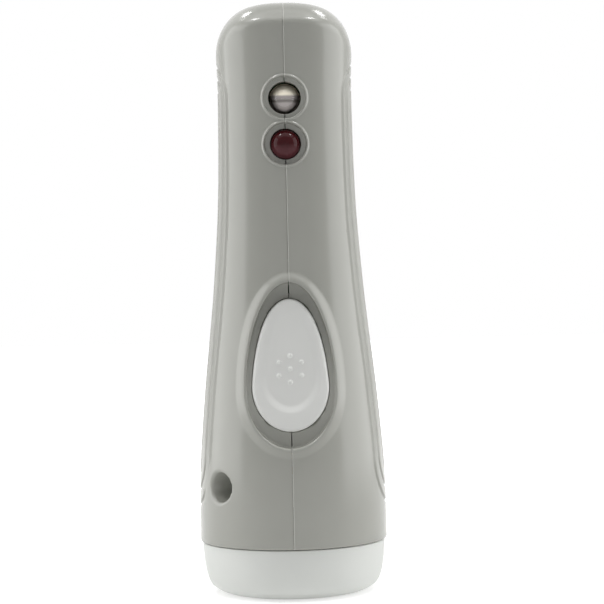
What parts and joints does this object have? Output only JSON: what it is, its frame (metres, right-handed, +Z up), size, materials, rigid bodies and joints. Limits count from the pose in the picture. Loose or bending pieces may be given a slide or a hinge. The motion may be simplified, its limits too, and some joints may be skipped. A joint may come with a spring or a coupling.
{
  "type": "hand crank flashlight",
  "caption": "Hand crank flashlight that stands on its lamp head, with an egg-shaped thumb button, two indicator domes, looped grip grooves and a folding crank on its back.",
  "frame": {"origin": "centre of the head ring's flat rim, at the bottom of the standing flashlight", "axes": "+Z up from the lamp head to the tail, -Y out of the front with the thumb button, +Y out of the back with the crank, +X to the right seen from the front"},
  "size_m": [0.0492, 0.0505, 0.1559],
  "materials": {
    "body_plastic": "smooth moulded warm grey plastic, glossy",
    "white_plastic": "smooth off-white moulded plastic",
    "button_plastic": "off-white plastic, satin dish with seven small dots",
    "clear_plastic": "clear polycarbonate lens",
    "reflector_chrome": "vacuum metallised plastic mirror",
    "seal_rubber": "black matt rubber",
    "board_green": "green solder mask on glass laminate",
    "black_plastic": "black moulded plastic",
    "gear_white": "natural white acetal",
    "gear_grey": "pale blue grey acetal",
    "red_lens": "dark red tinted epoxy dome",
    "clear_lens": "clear epoxy dome",
    "steel": "plain steel sheet and wire",
    "screw_steel": "zinc plated screw",
    "brass": "turned brass",
    "cell_nickel": "nickel plated cell can",
    "magnet_ferrite": "dark sintered ferrite",
    "copper_wire": "enamelled copper winding",
    "knob_plastic": "darker grey moulded plastic",
    "capacitor_sleeve": "dark blue sleeve"
  },
  "bodies": {
    "housing": {"left_shell": "body_plastic", "right_shell": "body_plastic", "case_screw_1": "screw_steel", "case_screw_2": "screw_steel", "case_screw_3": "screw_steel", "head_ring": "white_plastic", "lens": "clear_plastic", "lens_seal": "seal_rubber", "reflector": "reflector_chrome", "lamp_board": "board_green", "lamp_led_1": "clear_lens", "lamp_led_2": "clear_lens", "lamp_led_3": "clear_lens", "push_switch": "black_plastic", "main_board": "board_green", "tail_board": "board_green", "filter_capacitor": "capacitor_sleeve", "charge_chip": "black_plastic", "red_led": "red_lens", "clear_led": "clear_lens", "battery_cell_1": "cell_nickel", "battery_cell_2": "cell_nickel", "battery_cell_3": "cell_nickel", "cell_tab_lower": "steel", "cell_tab_upper": "steel", "gearbox_rear_plate": "steel", "gearbox_front_plate": "steel", "gearbox_post_1": "brass", "gearbox_post_2": "brass", "gearbox_post_3": "brass", "gearbox_post_4": "brass", "gear_pin_1": "steel", "gear_pin_2": "steel", "stator_front_cup": "steel", "stator_rear_cup": "steel", "coil_bobbin": "black_plastic", "coil_winding": "copper_wire", "rotor_bush": "brass", "shaft_bush": "brass"},
    "crank": {"crank_arm": "body_plastic", "drive_shaft": "steel", "crank_gear": "gear_white", "crank_screw": "screw_steel", "knob_hinge_pin": "steel"},
    "knob_hinge": {"knob_pivot": "knob_plastic", "knob_spindle": "steel"},
    "knob": {"crank_knob": "knob_plastic"},
    "first_gear": {"compound_gear_1": "gear_white"},
    "second_gear": {"compound_gear_2": "gear_grey"},
    "rotor": {"rotor_shaft": "steel", "rotor_magnet": "magnet_ferrite", "rotor_pinion": "brass"},
    "button": {"thumb_button": "button_plastic"},
    "plunger": {"switch_plunger": "gear_white"}
  },
  "joints": [
    {"name": "crank_spin", "type": "hinge", "parent": "housing", "child": "crank", "pos_m": [0, 0.01705, 0.066], "axis": [0, 0.9969, 0.0785], "continuous": true},
    {"name": "knob_fold", "type": "hinge", "parent": "crank", "child": "knob_hinge", "pos_m": [0, 0.0194, 0.1023], "axis": [1, 0, 0], "range_deg": [0, 90]},
    {"name": "knob_spin", "type": "hinge", "parent": "knob_hinge", "child": "knob", "pos_m": [0, 0.0194, 0.1023], "axis": [0, 0.0785, -0.9969], "continuous": true},
    {"name": "first_gear_spin", "type": "hinge", "parent": "housing", "child": "first_gear", "pos_m": [-0.006, 0.01821, 0.05121], "axis": [0, 0.9969, 0.0785], "continuous": true},
    {"name": "second_gear_spin", "type": "hinge", "parent": "housing", "child": "second_gear", "pos_m": [0.007, 0.01862, 0.04603], "axis": [0, 0.9969, 0.0785], "continuous": true},
    {"name": "rotor_spin", "type": "hinge", "parent": "housing", "child": "rotor", "pos_m": [0, 0.01941, 0.03595], "axis": [0, 0.9969, 0.0785], "continuous": true},
    {"name": "button_press", "type": "slide", "parent": "housing", "child": "button", "axis": [0, 1, 0], "range_m": [0, 0.0018], "stiffness_N_per_m": 300, "springref_m": -0.002},
    {"name": "plunger_press", "type": "slide", "parent": "housing", "child": "plunger", "axis": [0, 1, 0], "range_m": [0, 0.0018]}
  ],
  "couplings": [
    {"joint": "first_gear_spin", "follows": "crank_spin", "ratio": -3},
    {"joint": "second_gear_spin", "follows": "crank_spin", "ratio": 9},
    {"joint": "rotor_spin", "follows": "crank_spin", "ratio": -32},
    {"joint": "plunger_press", "follows": "button_press", "ratio": 1}
  ]
}
